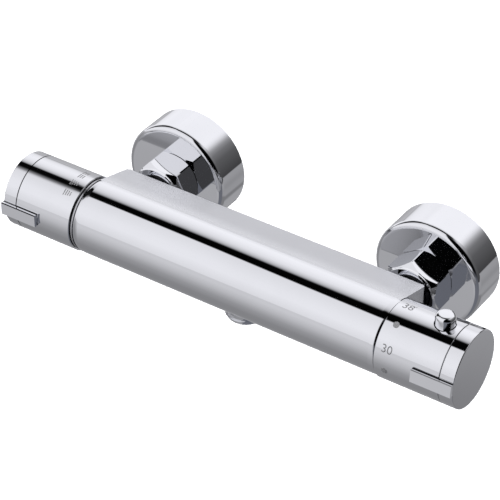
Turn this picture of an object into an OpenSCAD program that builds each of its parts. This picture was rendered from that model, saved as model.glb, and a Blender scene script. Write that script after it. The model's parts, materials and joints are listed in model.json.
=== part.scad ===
// Thermostatic bar shower valve, wall mounted, all sizes in millimetres.
// X runs along the bar towards the temperature knob, Y towards the wall, Z up.
// The origin lies on the wall, midway between the two supply tails.

/* [Placement] */
// distance between the two wall inlets
inlet_centres = 150; // [140:1:160]
// distance from the wall to the axis of the bar
bar_reach = 70.4; // [60:0.1:90]
// height of the bar axis above the supply tails, set by the eccentric unions
bar_rise = 6; // [0:0.5:12]

/* [Valve body] */
// radius of the round front of the body
body_r = 19.44; // [16:0.02:24]
// left end of the body
body_left_x = -89; // [-100:0.1:-80]
// right end of the body
body_right_x = 86.6; // [80:0.1:100]
// depth of the flat back behind the bar axis
back_depth = 29; // [24:0.1:32]
// half height of the flat back
back_half_h = 12.2; // [10:0.1:17]
// rounding of the long back edges
back_edge_r = 1; // [0.4:0.1:3]
// rounding of the upright back corners
back_corner_r = 2.9; // [0.5:0.1:3]
// length over which the round front eases down at both ends
body_ease_len = 3; // [1:0.1:6]
// drop of the round front at both ends
body_ease_drop = 0.6; // [0.2:0.1:1.5]

/* [Knobs] */
// outer radius of both knobs
knob_r = 19.85; // [16:0.05:24]
// wall thickness of the knob sleeves
sleeve_wall = 2.65; // [1.5:0.05:4]
// inner end of the flow knob, counted from the middle
flow_knob_x = 90.95; // [85:0.05:100]
// length of the flow sleeve
flow_sleeve_len = 33.4; // [25:0.1:45]
// full length of the flow knob
flow_knob_len = 41.28; // [30:0.01:50]
// inner end of the temperature knob, counted from the middle
temp_knob_x = 86.95; // [80:0.05:100]
// length of the temperature sleeve
temp_sleeve_len = 34.55; // [25:0.05:45]
// full length of the temperature knob
temp_knob_len = 42.41; // [30:0.01:50]
// gap at the seam between sleeve and end cap
seam_gap = 0.35; // [0.1:0.05:1]
// rounding of the outer edge of the end caps
cap_edge_r = 0.5; // [0.2:0.1:2]

/* [Levers] */
// distance from the bar axis to the flat front of a lever
lever_front = 22; // [21:0.1:30]
// thickness of a lever
lever_t = 6.7; // [3:0.1:10]
// length of a lever, counted back from the end of its knob
lever_len = 21.4; // [15:0.1:30]
// angle of the flow lever above the horizontal
flow_lever_angle = 0; // [-90:0.1:90]
// angle of the temperature lever above the horizontal
temp_lever_angle = 4.2; // [-90:0.1:90]
// width of the bevel along the upper front edge of a lever
lever_bevel_w = 0.6; // [0.2:0.05:1.2]
// height of the bevel along the upper front edge of a lever
lever_bevel_h = 0.25; // [0.1:0.05:0.6]

/* [Safety button] */
// distance of the button from the inner end of the temperature knob
button_at = 26.05; // [20:0.05:30]
// radius of the button
button_r = 5; // [3:0.1:8]
// top of the button above the bar axis
button_top = 26; // [22:0.1:30]
// travel of the button
button_travel = 2.5; // [1:0.1:4]

/* [Union nuts] */
// width of a union nut across its flats
nut_flats = 28.6; // [26:0.1:36]
// radius that the corners of a nut are turned down to
nut_corner_r = 16.3; // [14:0.05:20]
// turn of the left nut
nut_turn_left = 20.2; // [0:0.1:60]
// turn of the right nut
nut_turn_right = 3.8; // [0:0.1:60]

/* [Escutcheons] */
// outer radius of an escutcheon
rosette_r = 29.42; // [25:0.02:40]
// height of an escutcheon off the wall
rosette_h = 20.9; // [10:0.1:40]
// rounding of the front edge of an escutcheon
rosette_edge_r = 3; // [0.5:0.1:6]

/* [Threads] */
// outer radius of the half inch pipe thread
thread_half_r = 10.48; // [10:0.01:11]
// outer radius of the three quarter inch pipe thread
thread_three_quarter_r = 13.22; // [13:0.01:14]
// length of the tail that goes into the wall
tail_len = 14; // [10:0.5:25]
// lower end of the outlet below the bar axis
outlet_low = 26.6; // [23:0.1:35]
// depth of the outlet behind the bar axis
outlet_y = 4.2; // [0:0.1:8]

/* [Hidden] */
$fn = 96;

brass = [0.80, 0.66, 0.36];
chrome = [0.82, 0.83, 0.85];
steel = [0.70, 0.71, 0.73];
rubber = [0.10, 0.10, 0.11];
ceramic = [0.93, 0.92, 0.88];
dark_plastic = [0.16, 0.16, 0.18];
white_plastic = [0.86, 0.86, 0.84];
copper = [0.75, 0.45, 0.30];

sleeve_in = knob_r - sleeve_wall;
half = inlet_centres / 2;
eps = 0.01;
// gap between two faces that seat on each other
seat = 0.03;
// depth and width of the groove where a thread runs out, and the chamfer at its end
relief_depth = 1.1;
relief_w = 1.2;
thread_chamfer = 0.8;

// supply line, measured behind the bar axis
tail_socket_r = 8.7;
tail_socket_y = 18.2;
nut_y1 = 32.4;
nut_y2 = 49.2;
tail_end_y = 36.2;
washer_t = 1.8;
union_front_y = tail_end_y + washer_t + 0.1;
nut_neck_r = 12.6;
tail_flange_r = 12.3;
tail_flange_t = 2;
check_r = 7;
check_from = 20.4;
check_to = 36;
poppet_r = 4.7;
poppet_stem_r = 1.3;

// outlet under the middle of the body
boss_r = thread_half_r + 0.12;
boss_low = body_r + 0.56;
outlet_bore_r = 6.6;
outlet_neck_r = 8.5;
outlet_neck_top = 13.9;
outlet_socket_top = 9.4;

// flow cartridge, measured along the bar
flow_bore_r = 11.2;
disc_room_r = 9.6;
flow_seat_x = -48;
flow_nut_x = -79.6;
flow_nut_r = 12;
flow_port_x = -62;
flow_ring_x = [-78, -54];
flow_ring_w = 0.6;
flow_seal_t = 2.1;
disc_t = 3.05;
fixed_disc_x = flow_seat_x - flow_seal_t - 0.15;
moving_disc_x = fixed_disc_x - disc_t - 0.05;
port_in = 2;
port_out = 6.2;
dog_w = 2.8;

// thermostat cartridge, measured along the bar
thermo_bore_r = 12.4;
thermo_seat_x = 36;
thermo_nut_x = 79.6;
thermo_nut_r = 13;
thermo_wall_r = 9.4;
thermo_ring_x = [42, 59.5, 78.4];
thermo_ring_w = 0.85;
hot_port_x = 49.6;
cold_port_x = 72.6;
hot_seat_x = 53.3;
cold_seat_x = 67.6;
wax_from = 42;
wax_to = 72.2;
return_spring_from = 39.1;
return_spring_len = 15.2;

// spindles and the hexagon of the cartridge nuts
spindle_r = 4.4;
spindle_collar_r = 6.6;
spindle_hole_r = 4.7;
collar_hole_r = 7;
cartridge_hex = 20;

// web of the splined inserts, measured from the inner end of each knob
knob_web_x = 30.2;
knob_web_t = 2.5;
temp_web_x = 31.3;
hub_from = 9;

// catch of the safety button, measured from the bar axis
catch_low = 14.5;
catch_t = 1.2;
stop_step_r = catch_low - button_travel - 0.3;
button_spring_low = 11.65;

// moves the bar frame to its place in front of the wall
module at_bar() {
    translate([0, -bar_reach, bar_rise]) children();
}

// round bar along X
module rod_x(r, x1, x2) {
    translate([x1, 0, 0]) rotate([0, 90, 0]) cylinder(h = x2 - x1, r = r);
}

// tube along X
module tube_x(r_out, r_in, x1, x2) {
    difference() {
        rod_x(r_out, x1, x2);
        rod_x(r_in, x1 - 1, x2 + 1);
    }
}

// round bar along Y
module rod_y(r, y1, y2) {
    translate([0, y1, 0]) rotate([-90, 0, 0]) cylinder(h = y2 - y1, r = r);
}

// tube along Y
module tube_y(r_out, r_in, y1, y2) {
    difference() {
        rod_y(r_out, y1, y2);
        rod_y(r_in, y1 - 1, y2 + 1);
    }
}

// shape turned about X, profile given as [radius, x]
module turned_x(profile) {
    rotate([0, 90, 0]) rotate_extrude() polygon(profile);
}

// shape turned about Y, profile given as [radius, y]
module turned_y(profile) {
    rotate([-90, 0, 0]) rotate_extrude() polygon(profile);
}

// hexagonal bar along X
module hex_x(flats, x1, x2) {
    translate([x1, 0, 0]) rotate([0, 90, 0])
        cylinder(h = x2 - x1, r = flats / 2 / cos(30), $fn = 6);
}

// places a part of one supply line, side is -1 for left and 1 for right
module at_inlet(side) {
    at_bar() translate([side * half, 0, 0]) children();
}

// places a knob part with X counted outwards from the knob's inner end
module at_flow_knob() {
    at_bar() mirror([1, 0, 0]) translate([flow_knob_x, 0, 0]) children();
}

module at_temp_knob() {
    at_bar() translate([temp_knob_x, 0, 0]) children();
}

// helical spring along Z from 0, ground flat at both ends
function coil_band(r, w, pitch, s) =
    [for (i = [-4 : 4])
        let (a = 360 * w * sin(i * 22.5) / pitch, d = s * w * cos(i * 22.5))
        [(r + d) * cos(a), (r + d) * sin(a)]];

module coil(r, w, length, turns) {
    pitch = length / turns;
    outer = coil_band(r, w, pitch, 1);
    inner = coil_band(r, w, pitch, -1);
    steps = len(inner);
    loop = concat(outer, [for (i = [1 : steps - 2]) inner[steps - 1 - i]]);
    linear_extrude(height = length, twist = -360 * turns, slices = 15 * turns, $fn = 16)
        polygon(loop);
}

// cross-section of the body, round in front and tapering to a flat back
module body_section() {
    reach = norm([back_depth, back_half_h]);
    touch = atan2(back_half_h, back_depth) + acos(body_r / reach);
    start = [body_r * cos(touch), body_r * sin(touch)];
    slope = atan2(start[1] - back_half_h, start[0] - back_depth);
    corner = (270 - slope) / 2;
    middle = (270 + slope) / 2;
    run = back_edge_r / tan(corner);
    first = [back_depth + run * cos(slope), back_half_h + run * sin(slope)];
    last = [back_depth, back_half_h - run];
    round_at = [back_depth + back_edge_r / sin(corner) * cos(middle),
                back_half_h + back_edge_r / sin(corner) * sin(middle)];
    polygon([start, first, last, [last[0], -last[1]],
             [first[0], -first[1]], [start[0], -start[1]]]);
    for (s = [-1, 1])
        translate([round_at[0], s * round_at[1]]) circle(r = back_edge_r);
}

// round front of the body, eased down at both ends
module body_round() {
    r = body_r;
    width = body_right_x - body_left_x;
    ease_r = (pow(body_ease_len, 2) + pow(body_ease_drop, 2)) / (2 * body_ease_drop);
    rotate([0, 90, 0]) rotate_extrude() {
        translate([0, body_left_x]) square([r - body_ease_drop, width]);
        translate([0, body_left_x + body_ease_len]) square([r, width - 2 * body_ease_len]);
        intersection() {
            for (x = [body_left_x + body_ease_len, body_right_x - body_ease_len])
                translate([r - ease_r, x]) circle(r = ease_r);
            translate([0, body_left_x]) square([r, width]);
        }
    }
}

// body as seen from above, with its rounded back corners
module body_plan() {
    c = back_corner_r;
    width = body_right_x - body_left_x;
    front = -body_r - 1;
    translate([body_left_x, front]) square([width, back_depth - c - front]);
    translate([body_left_x + c, front]) square([width - 2 * c, back_depth - front]);
    for (x = [body_left_x + c, body_right_x - c])
        translate([x, back_depth - c]) circle(r = c);
}

// prism behind the round front, eased with it at both ends
module body_prism() {
    width = body_right_x - body_left_x;
    intersection() {
        translate([body_left_x, 0, 0]) rotate([90, 0, 90])
            linear_extrude(width) body_section();
        translate([0, 0, -body_r - 1]) linear_extrude(2 * body_r + 2) body_plan();
    }
}

module valve_body() {
    hot_way_y = 17;
    hot_way_r = 3.2;
    at_bar() color(chrome) difference() {
        union() {
            body_round();
            body_prism();
            // boss that the outlet screws into
            translate([0, outlet_y, -boss_low])
                cylinder(h = boss_low - outlet_socket_top + 1, r = boss_r);
        }
        // chambers for the two cartridges and the passage between them
        rod_x(flow_bore_r, body_left_x - 1, flow_seat_x);
        rod_x(flow_nut_r, body_left_x - 1, flow_nut_x);
        rod_x(thermo_bore_r, thermo_seat_x, body_right_x + 1);
        rod_x(thermo_nut_r, thermo_nut_x, body_right_x + 1);
        rod_x(6, flow_seat_x - eps, thermo_seat_x + eps);
        // hot passage behind the chambers and its port
        translate([0, hot_way_y, 0]) rod_x(hot_way_r, -half, hot_port_x);
        translate([hot_port_x, 0, 0]) rod_y(hot_way_r, thermo_bore_r - 2.4, hot_way_y);
        // passage from the flow cartridge to the outlet
        translate([0, outlet_y, -flow_bore_r - 0.4]) rod_x(2.2, flow_port_x, 0);
        translate([0, outlet_y, -outlet_low])
            cylinder(h = outlet_low - outlet_socket_top, r = outlet_neck_r + 0.2);
        // inlets in the back
        for (s = [-1, 1]) translate([s * half, 0, 0]) {
            rod_y(tail_socket_r, tail_socket_y, back_depth + 1);
            rod_y(8.4, thermo_bore_r + 1.5, tail_socket_y + 0.1);
        }
        translate([half, 0, 0]) rod_y(4.5, thermo_bore_r - 2.4, thermo_bore_r + 1.6);
    }
}

module outlet_nipple() {
    shoulder = boss_low + seat;
    thread_top = shoulder + relief_w;
    at_bar() translate([0, outlet_y, 0]) color(chrome) difference() {
        union() {
            rotate_extrude()
                polygon([[0, -outlet_low], [thread_half_r - thread_chamfer, -outlet_low],
                    [thread_half_r, -outlet_low + thread_chamfer], [thread_half_r, -thread_top],
                    [thread_half_r - relief_depth, -thread_top],
                    [thread_half_r - relief_depth, -shoulder], [0, -shoulder]]);
            translate([0, 0, -shoulder - 1])
                cylinder(h = shoulder + 1 - outlet_neck_top, r = outlet_neck_r);
        }
        translate([0, 0, -outlet_low - 1]) cylinder(h = outlet_low, r = outlet_bore_r);
    }
}

// short threaded piece that carries the union nut and holds the check valve
module inlet_tail(side) {
    thread_r = tail_socket_r - 0.1;
    collar_r = 9.9;
    flange_y = tail_end_y - tail_flange_t;
    at_inlet(side) color(chrome) difference() {
        turned_y([[0, tail_socket_y + 0.2], [thread_r - 0.6, tail_socket_y + 0.2],
                  [thread_r, tail_socket_y + 0.8], [thread_r, back_depth + 0.1],
                  [collar_r, back_depth + 0.1], [collar_r, flange_y],
                  [tail_flange_r, flange_y], [tail_flange_r, tail_end_y], [0, tail_end_y]]);
        rod_y(check_r + 0.2, check_from - 0.2, tail_end_y + 1);
        rod_y(check_r - 1.4, tail_socket_y - 1, check_from);
    }
}

// hexagon with turned ends, scalloped flats and a round collar in front
module union_nut(side, turn) {
    collar_r = 14.1;
    front_corner_y = nut_y1 + 3.8;
    back_corner_y = nut_y2 - 1.7;
    at_inlet(side) color(chrome) difference() {
        intersection() {
            translate([0, nut_y1, 0]) rotate([-90, 0, 0]) rotate([0, 0, -turn + 90])
                cylinder(h = nut_y2 - nut_y1, r = nut_flats / 2 / cos(30), $fn = 6);
            turned_y([[0, nut_y1], [collar_r - 0.4, nut_y1], [collar_r, nut_y1 + 0.4],
                      [collar_r, nut_y1 + 1.1], [nut_corner_r, front_corner_y],
                      [nut_corner_r, back_corner_y], [collar_r + 0.3, nut_y2], [0, nut_y2]]);
        }
        rod_y(10.2, nut_y1 - 1, nut_y2 + 1);
        rod_y(nut_neck_r, tail_end_y - tail_flange_t - 0.2, nut_y2 + 1);
        rod_y(thread_three_quarter_r + 0.28, tail_end_y + 0.2, nut_y2 + 1);
    }
}

module inlet_washer(side) {
    at_inlet(side) color(rubber)
        tube_y(nut_neck_r - 0.4, 8.6, tail_end_y + 0.05, tail_end_y + 0.05 + washer_t);
}

// fine steel screen with rings of holes, held inside the washer
module inlet_strainer(side) {
    screen_r = 8.5;
    screen_y = tail_end_y + 0.1;
    hole_r = 0.6;
    pitch = 1.85;
    at_inlet(side) color(steel) difference() {
        union() {
            tube_y(screen_r, screen_r - 0.6, screen_y, screen_y + 1.7);
            rod_y(screen_r, screen_y, screen_y + 0.4);
        }
        for (ring = [1 : 4])
            for (k = [0 : 6 * ring - 1])
                rotate([0, 360 * k / (6 * ring), 0]) translate([pitch * ring, 0, 0])
                    rod_y(hole_r, screen_y - 1, screen_y + 1);
        rod_y(hole_r, screen_y - 1, screen_y + 1);
    }
}

// housing of the non-return valve, seat at the wall side and guide at the bar side
module check_housing(side) {
    room_r = check_r - 1.5;
    seat_y = check_to - 1.8;
    floor_t = 2;
    at_inlet(side) color(white_plastic) difference() {
        rod_y(check_r, check_from, check_to);
        rod_y(room_r, check_from + floor_t, seat_y + 0.1);
        turned_y([[0, seat_y], [poppet_r + 0.3, seat_y], [poppet_r - 0.8, seat_y + 1.1],
                  [poppet_r - 0.8, check_to + 1], [0, check_to + 1]]);
        for (k = [0 : 2])
            rotate([0, 120 * k, 0]) translate([3.9, 0, 0])
                rod_y(1.4, check_from - 1, check_from + floor_t + 1);
        rod_y(poppet_stem_r + 0.25, check_from - 1, check_from + floor_t + 1);
    }
}

// disc and stem of the non-return valve
module check_poppet(side) {
    disc_y = check_to - 3.7;
    at_inlet(side) color(dark_plastic)
        turned_y([[0, check_from + 2.5], [poppet_stem_r, check_from + 2.5],
                  [poppet_stem_r, disc_y - 0.9], [poppet_stem_r + 0.9, disc_y],
                  [poppet_r, disc_y + 0.3], [poppet_r, disc_y + 1.8],
                  [poppet_r - 1, disc_y + 2.7], [0, disc_y + 3.3]]);
}

module check_spring(side) {
    at_inlet(side) color(steel) translate([0, check_from + 2.2, 0]) rotate([-90, 0, 0])
        coil(3.2, 0.35, 9.6, 5);
}

// eccentric union from the wall tail up to the union nut
module eccentric_union(side) {
    web_from = -10.5;
    web_to = -4;
    web_r = 12.4;
    front = union_front_y - bar_reach;
    low_r = thread_half_r - relief_depth;
    tail_way_r = 7.5;
    union_way_r = 8.6;
    color(chrome) translate([side * half, 0, 0]) difference() {
        union() {
            turned_y([[0, web_to - 1], [low_r, web_to - 1], [low_r, web_to + relief_w],
                      [thread_half_r, web_to + relief_w],
                      [thread_half_r, tail_len - thread_chamfer],
                      [thread_half_r - thread_chamfer, tail_len], [0, tail_len]]);
            translate([0, web_to, 0]) rotate([90, 0, 0])
                linear_extrude(web_to - web_from) union() {
                    circle(r = web_r);
                    translate([0, bar_rise]) circle(r = web_r);
                    translate([-web_r, 0]) square([2 * web_r, bar_rise]);
                }
            translate([0, 0, bar_rise]) rod_y(thread_three_quarter_r, front, web_from + 1);
        }
        rod_y(tail_way_r, web_from + 1.5, tail_len + 1);
        translate([0, 0, bar_rise]) rod_y(union_way_r, front - 1, web_to - 3);
    }
}

// deep round cover, open towards the wall
module escutcheon(side) {
    r = rosette_r;
    e = rosette_edge_r;
    wall = 1.3;
    y1 = -rosette_h;
    translate([side * half, 0, bar_rise]) color(chrome) difference() {
        rotate([-90, 0, 0]) rotate_extrude() difference() {
            union() {
                translate([0, y1 + e]) square([r, rosette_h - e]);
                translate([0, y1]) square([r - e, e + 1]);
                intersection() {
                    translate([r - e, y1 + e]) circle(r = e);
                    translate([0, y1]) square([r, e + 1]);
                }
            }
            translate([-1, y1 + e]) square([r - wall + 1, rosette_h]);
            translate([-1, y1 + wall]) square([r - e + 1, rosette_h]);
        }
        rod_y(thread_three_quarter_r + 0.3, y1 - 1, y1 + e + 2);
    }
}

// dark ring between the body and the flow knob, with a groove at each side
module flow_seam_ring() {
    from = -flow_knob_x + 0.35;
    to = body_left_x - 0.05;
    low_r = knob_r - 1.8;
    high_r = knob_r - 0.85;
    at_bar() color(dark_plastic)
        turned_x([[13, from], [low_r, from], [low_r, from + 0.25], [high_r, from + 0.25],
                  [high_r, to - 0.45], [low_r, to - 0.45], [low_r, to], [13, to]]);
}

module flow_cartridge_housing() {
    outer_r = flow_bore_r - 0.2;
    room_r = disc_room_r;
    from = flow_nut_x - 0.4;
    at_bar() color(brass) difference() {
        rod_x(outer_r, from, fixed_disc_x - 0.05);
        rod_x(room_r, from + 4, flow_seat_x);
        rod_x(spindle_hole_r, from - 1, from + 5);
        for (a = [0 : 90 : 270])
            rotate([a, 0, 0]) translate([flow_port_x, 0, 0]) rod_y(3, 5, outer_r + 1);
        for (x = flow_ring_x)
            tube_x(outer_r + 1, outer_r - 1.1, x - 1.1, x + 1.1);
    }
}

module flow_retaining_nut() {
    back_x = flow_nut_x - 0.5;
    at_bar() color(brass) difference() {
        union() {
            rod_x(flow_nut_r - 0.15, body_left_x - 0.2, back_x);
            hex_x(cartridge_hex, body_left_x - 4.5, body_left_x);
        }
        rod_x(spindle_hole_r, body_left_x - 6, back_x + 1);
        rod_x(collar_hole_r, back_x - 3.3, back_x + 1);
    }
}

module flow_disc_seal() {
    at_bar() color(rubber)
        tube_x(disc_room_r - 0.2, port_out + 0.1, flow_seat_x - flow_seal_t - 0.1, flow_seat_x - 0.1);
}

// two quarter rings, open across each other
module quarter_ports(r1, r2, x1, x2, turn) {
    bridge = 1;
    rotate([turn, 0, 0]) intersection() {
        tube_x(r2, r1, x1, x2);
        union() {
            translate([x1 - 1, bridge, bridge]) cube([x2 - x1 + 2, r2, r2]);
            translate([x1 - 1, -bridge - r2, -bridge - r2]) cube([x2 - x1 + 2, r2, r2]);
        }
    }
}

module flow_fixed_disc() {
    at_bar() color(ceramic) difference() {
        rod_x(disc_room_r - 0.3, fixed_disc_x - disc_t, fixed_disc_x);
        quarter_ports(port_in, port_out, fixed_disc_x - disc_t - 1, fixed_disc_x + 1, 0);
    }
}

module flow_moving_disc() {
    back_x = moving_disc_x - disc_t;
    at_bar() color(ceramic) difference() {
        rod_x(disc_room_r - 0.7, back_x, moving_disc_x);
        quarter_ports(port_in, port_out, back_x - 1, moving_disc_x + 1, 90);
        // slot for the driving dog
        translate([back_x - 0.5, -dog_w / 2 - 0.2, -9]) cube([1.7, dog_w + 0.4, 18]);
    }
}

module flow_spindle() {
    disc_x = moving_disc_x - disc_t - 0.1;
    collar_x = flow_nut_x - 0.7;
    end_x = -flow_knob_x - knob_web_x + 2.65;
    at_bar() color(brass) difference() {
        union() {
            rod_x(disc_room_r - 1, disc_x - 3.9, disc_x);
            translate([disc_x - 0.1, -dog_w / 2, -8]) cube([1.3, dog_w, 16]);
            rod_x(spindle_r, end_x, disc_x - 3.5);
            rod_x(spindle_collar_r, collar_x - 2.8, collar_x);
        }
        rod_x(1.5, end_x - 1, end_x + 12.5);
        // open quarters beside the driving dog
        quarter_ports(3, disc_room_r - 1.8, disc_x - 4.5, disc_x + 1.5, 90);
    }
}

// splined hub, web and rim that join a spindle to its sleeve
module spline_insert(web_from) {
    web_to = web_from + knob_web_t;
    difference() {
        union() {
            rod_x(7.5, hub_from, web_to);
            rod_x(sleeve_in - 0.2, web_from, web_to);
        }
        rod_x(spindle_r + 0.05, hub_from - 1, web_from - 2.35);
        rod_x(1.9, hub_from - 1, web_to + 1);
        rod_x(4.2, web_to - 1.2, web_to + 1);
        for (k = [0 : 5])
            rotate([60 * k + 30, 0, 0]) translate([0, 12.2, 0])
                rod_x(2.4, web_from - 1, web_to + 1);
    }
}

module flow_spline_insert() {
    at_flow_knob() color(white_plastic) spline_insert(knob_web_x);
}

// pan head screw with a cross slot
module knob_screw(head_at) {
    length = 13;
    head_r = 3;
    slot_w = 0.7;
    slot_l = 3.4;
    difference() {
        union() {
            rod_x(1.4, head_at - length, head_at + 0.2);
            turned_x([[0, head_at], [head_r, head_at], [head_r, head_at + 1],
                      [head_r - 0.8, head_at + 1.7], [0, head_at + 1.9]]);
        }
        for (a = [0, 90])
            rotate([a, 0, 0]) translate([head_at + 0.9, -slot_l / 2, -slot_w / 2])
                cube([2, slot_l, slot_w]);
    }
}

module flow_knob_screw() {
    at_flow_knob() color(steel) knob_screw(knob_web_x + knob_web_t - 1.1);
}

// bar that points along -Y with a bevel on its upper front edge
module lever_bar(from, to, r_in, grow, angle) {
    front = -lever_front - grow;
    up = lever_t / 2 + grow;
    rotate([-angle, 0, 0]) translate([from - grow, 0, 0]) rotate([90, 0, 90])
        linear_extrude(to - from + 2 * grow)
            polygon([[front, -up], [front, up - lever_bevel_h], [front + lever_bevel_w, up],
                     [-r_in, up], [-r_in, -up]]);
}

// open sleeve with the slot that the lever lies in
module knob_sleeve(length, full, angle) {
    c = 0.35;
    difference() {
        turned_x([[sleeve_in, 0], [knob_r - c, 0], [knob_r, c], [knob_r, length - 0.2],
                  [knob_r - 0.2, length], [sleeve_in, length]]);
        lever_bar(full - lever_len, full + 10, 15, 0.15, angle);
    }
}

module flow_sleeve() {
    at_flow_knob() color(chrome)
        knob_sleeve(flow_sleeve_len, flow_knob_len, flow_lever_angle);
}

// end cap with its lever, the lever runs back over the sleeve
module end_cap(sleeve_len, full, angle) {
    start = sleeve_len + seam_gap;
    r = knob_r;
    e = cap_edge_r;
    difference() {
        union() {
            rotate([0, 90, 0]) rotate_extrude() {
                translate([0, start]) square([r, full - start - e]);
                translate([0, start]) square([r - e, full - start]);
                intersection() {
                    translate([r - e, full - e]) circle(r = e);
                    translate([0, start]) square([r, full - start]);
                }
            }
            lever_bar(full - lever_len, full, sleeve_in + 0.4, 0, angle);
        }
        rod_x(r - 3, start - 1, full - 2.4);
    }
    // clip ring that snaps over the insert
    tube_x(sleeve_in - 0.6, sleeve_in - 2.2, start - 0.1, full - 2);
}

module flow_end_cap() {
    at_flow_knob() color(chrome)
        end_cap(flow_sleeve_len, flow_knob_len, flow_lever_angle);
}

module thermostat_housing() {
    outer_r = thermo_bore_r - 0.3;
    from = thermo_seat_x + 1;
    to = thermo_nut_x + 0.4;
    at_bar() color(white_plastic) difference() {
        rod_x(outer_r, from, to);
        rod_x(thermo_wall_r, from + 2, to - 3);
        rod_x(5.4, to - 4, to + 1);
        rod_x(5.2, from - 1, from + 3);
        // grooves that lead the hot and the cold water round the housing
        tube_x(outer_r + 1, outer_r - 1.1, hot_port_x - 3.6, hot_port_x + 4.4);
        tube_x(outer_r + 1, outer_r - 1.1, cold_port_x - 7.6, cold_port_x + 3.4);
        for (a = [0 : 60 : 300])
            for (x = [hot_port_x, cold_port_x])
                rotate([a, 0, 0]) translate([x, 0, 0]) rod_y(2.1, 5, outer_r + 1);
        // grooves for the sealing rings
        for (x = thermo_ring_x)
            tube_x(outer_r + 1, outer_r - 1.5, x - 1.1, x + 1.1);
    }
    // hot and cold seats inside the housing
    at_bar() color(white_plastic) {
        tube_x(thermo_wall_r + 0.1, 8, hot_seat_x - 1.6, hot_seat_x);
        tube_x(thermo_wall_r + 0.1, 7.6, cold_seat_x, cold_seat_x + 1.6);
    }
}

module thermostat_retaining_nut() {
    back_x = thermo_nut_x + 0.5;
    at_bar() color(brass) difference() {
        union() {
            rod_x(thermo_nut_r - 0.15, back_x, body_right_x - 0.1);
            hex_x(cartridge_hex, body_right_x - 0.2, body_right_x + 5.4);
        }
        rod_x(spindle_hole_r, back_x - 1, body_right_x + 7);
        rod_x(collar_hole_r, back_x - 1, back_x + 3.5);
    }
}

// wax element with its probe in front and its piston behind
module thermostat_wax_element() {
    probe_r = 4.2;
    collar_r = 5.2;
    piston_r = 1.5;
    collar_x = 58.6;
    at_bar() color(copper)
        turned_x([[0, wax_from], [probe_r - 0.6, wax_from], [probe_r, wax_from + 0.6],
                  [probe_r, collar_x - 0.6], [collar_r, collar_x], [collar_r, collar_x + 2.4],
                  [probe_r, collar_x + 3], [probe_r, wax_to - 2.7], [2.4, wax_to - 2.2],
                  [piston_r, wax_to - 1.8], [piston_r, wax_to], [0, wax_to]]);
}

// ring that slides between the hot and the cold seat, with its spokes
module thermostat_shuttle() {
    gap = 1.2;
    web_x = 58.7;
    at_bar() color(dark_plastic) difference() {
        union() {
            tube_x(thermo_wall_r - 0.3, 7.2, hot_seat_x + gap, cold_seat_x - 1.1);
            tube_x(8, 5.3, web_x, web_x + 2.2);
        }
        for (k = [0 : 5])
            rotate([60 * k, 0, 0]) translate([0, 6.25, 0]) rod_x(0.85, web_x - 1, web_x + 3);
    }
}

module thermostat_pusher() {
    cup_r = 6.2;
    from = wax_to + 0.05;
    to = 76.1;
    at_bar() color(brass) difference() {
        turned_x([[0, from], [cup_r - 0.6, from], [cup_r, from + 0.6], [cup_r, to], [0, to]]);
        rod_x(spindle_r + 0.35, from + 1.15, to + 1);
    }
}

module thermostat_return_spring() {
    at_bar() color(steel) translate([return_spring_from, 0, 0]) rotate([0, 90, 0])
        coil(7, 0.6, return_spring_len, 4);
}

module temperature_spindle() {
    collar_x = thermo_nut_x + 0.7;
    end_x = temp_knob_x + temp_web_x - 2.65;
    at_bar() color(brass) difference() {
        union() {
            rod_x(spindle_r, 74.6, end_x);
            rod_x(spindle_collar_r, collar_x, collar_x + 2.9);
        }
        rod_x(1.5, end_x - 12.5, end_x + 1);
    }
}

// fixed ring on the cartridge nut with the step for the 38 degree catch
module temperature_stop_ring() {
    base_r = 16.6;
    cup_r = 13.6;
    barrel_r = 10.3;
    step_from = button_at - 13.4;
    base_x = 0.4;
    hex_deep = 5;
    at_temp_knob() color(dark_plastic) difference() {
        union() {
            rod_x(base_r, base_x, base_x + 2);
            rod_x(cup_r, base_x, base_x + 6.6);
            rod_x(barrel_r, base_x, button_at - 2.4);
            rotate([12, 0, 0]) intersection() {
                rod_x(stop_step_r, step_from, step_from + 6);
                translate([0, -14, 0]) cube([30, 14, 14]);
            }
        }
        hex_x(cartridge_hex + 0.3, -1, base_x + hex_deep);
        rod_x(8.1, hex_deep, button_at);
        for (k = [0 : 11])
            rotate([30 * k, 0, 0]) translate([0, base_r - 1.5, 0]) rod_x(0.9, 0, base_x + 3);
    }
}

module temperature_spline_insert() {
    at_temp_knob() color(white_plastic) {
        spline_insert(temp_web_x);
        // shelf that carries the button spring
        translate([button_at - 3.2, -3, button_spring_low - 0.95])
            cube([temp_web_x + 0.7 - button_at + 3.2, 6, 0.9]);
    }
}

module temperature_knob_screw() {
    at_temp_knob() color(steel) knob_screw(temp_web_x + knob_web_t - 1.1);
}

module temperature_sleeve() {
    at_temp_knob() color(chrome) difference() {
        knob_sleeve(temp_sleeve_len, temp_knob_len, temp_lever_angle);
        translate([button_at, 0, 10]) cylinder(h = 15, r = button_r + 0.35);
    }
}

module temperature_end_cap() {
    at_temp_knob() color(chrome)
        end_cap(temp_sleeve_len, temp_knob_len, temp_lever_angle);
}

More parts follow.
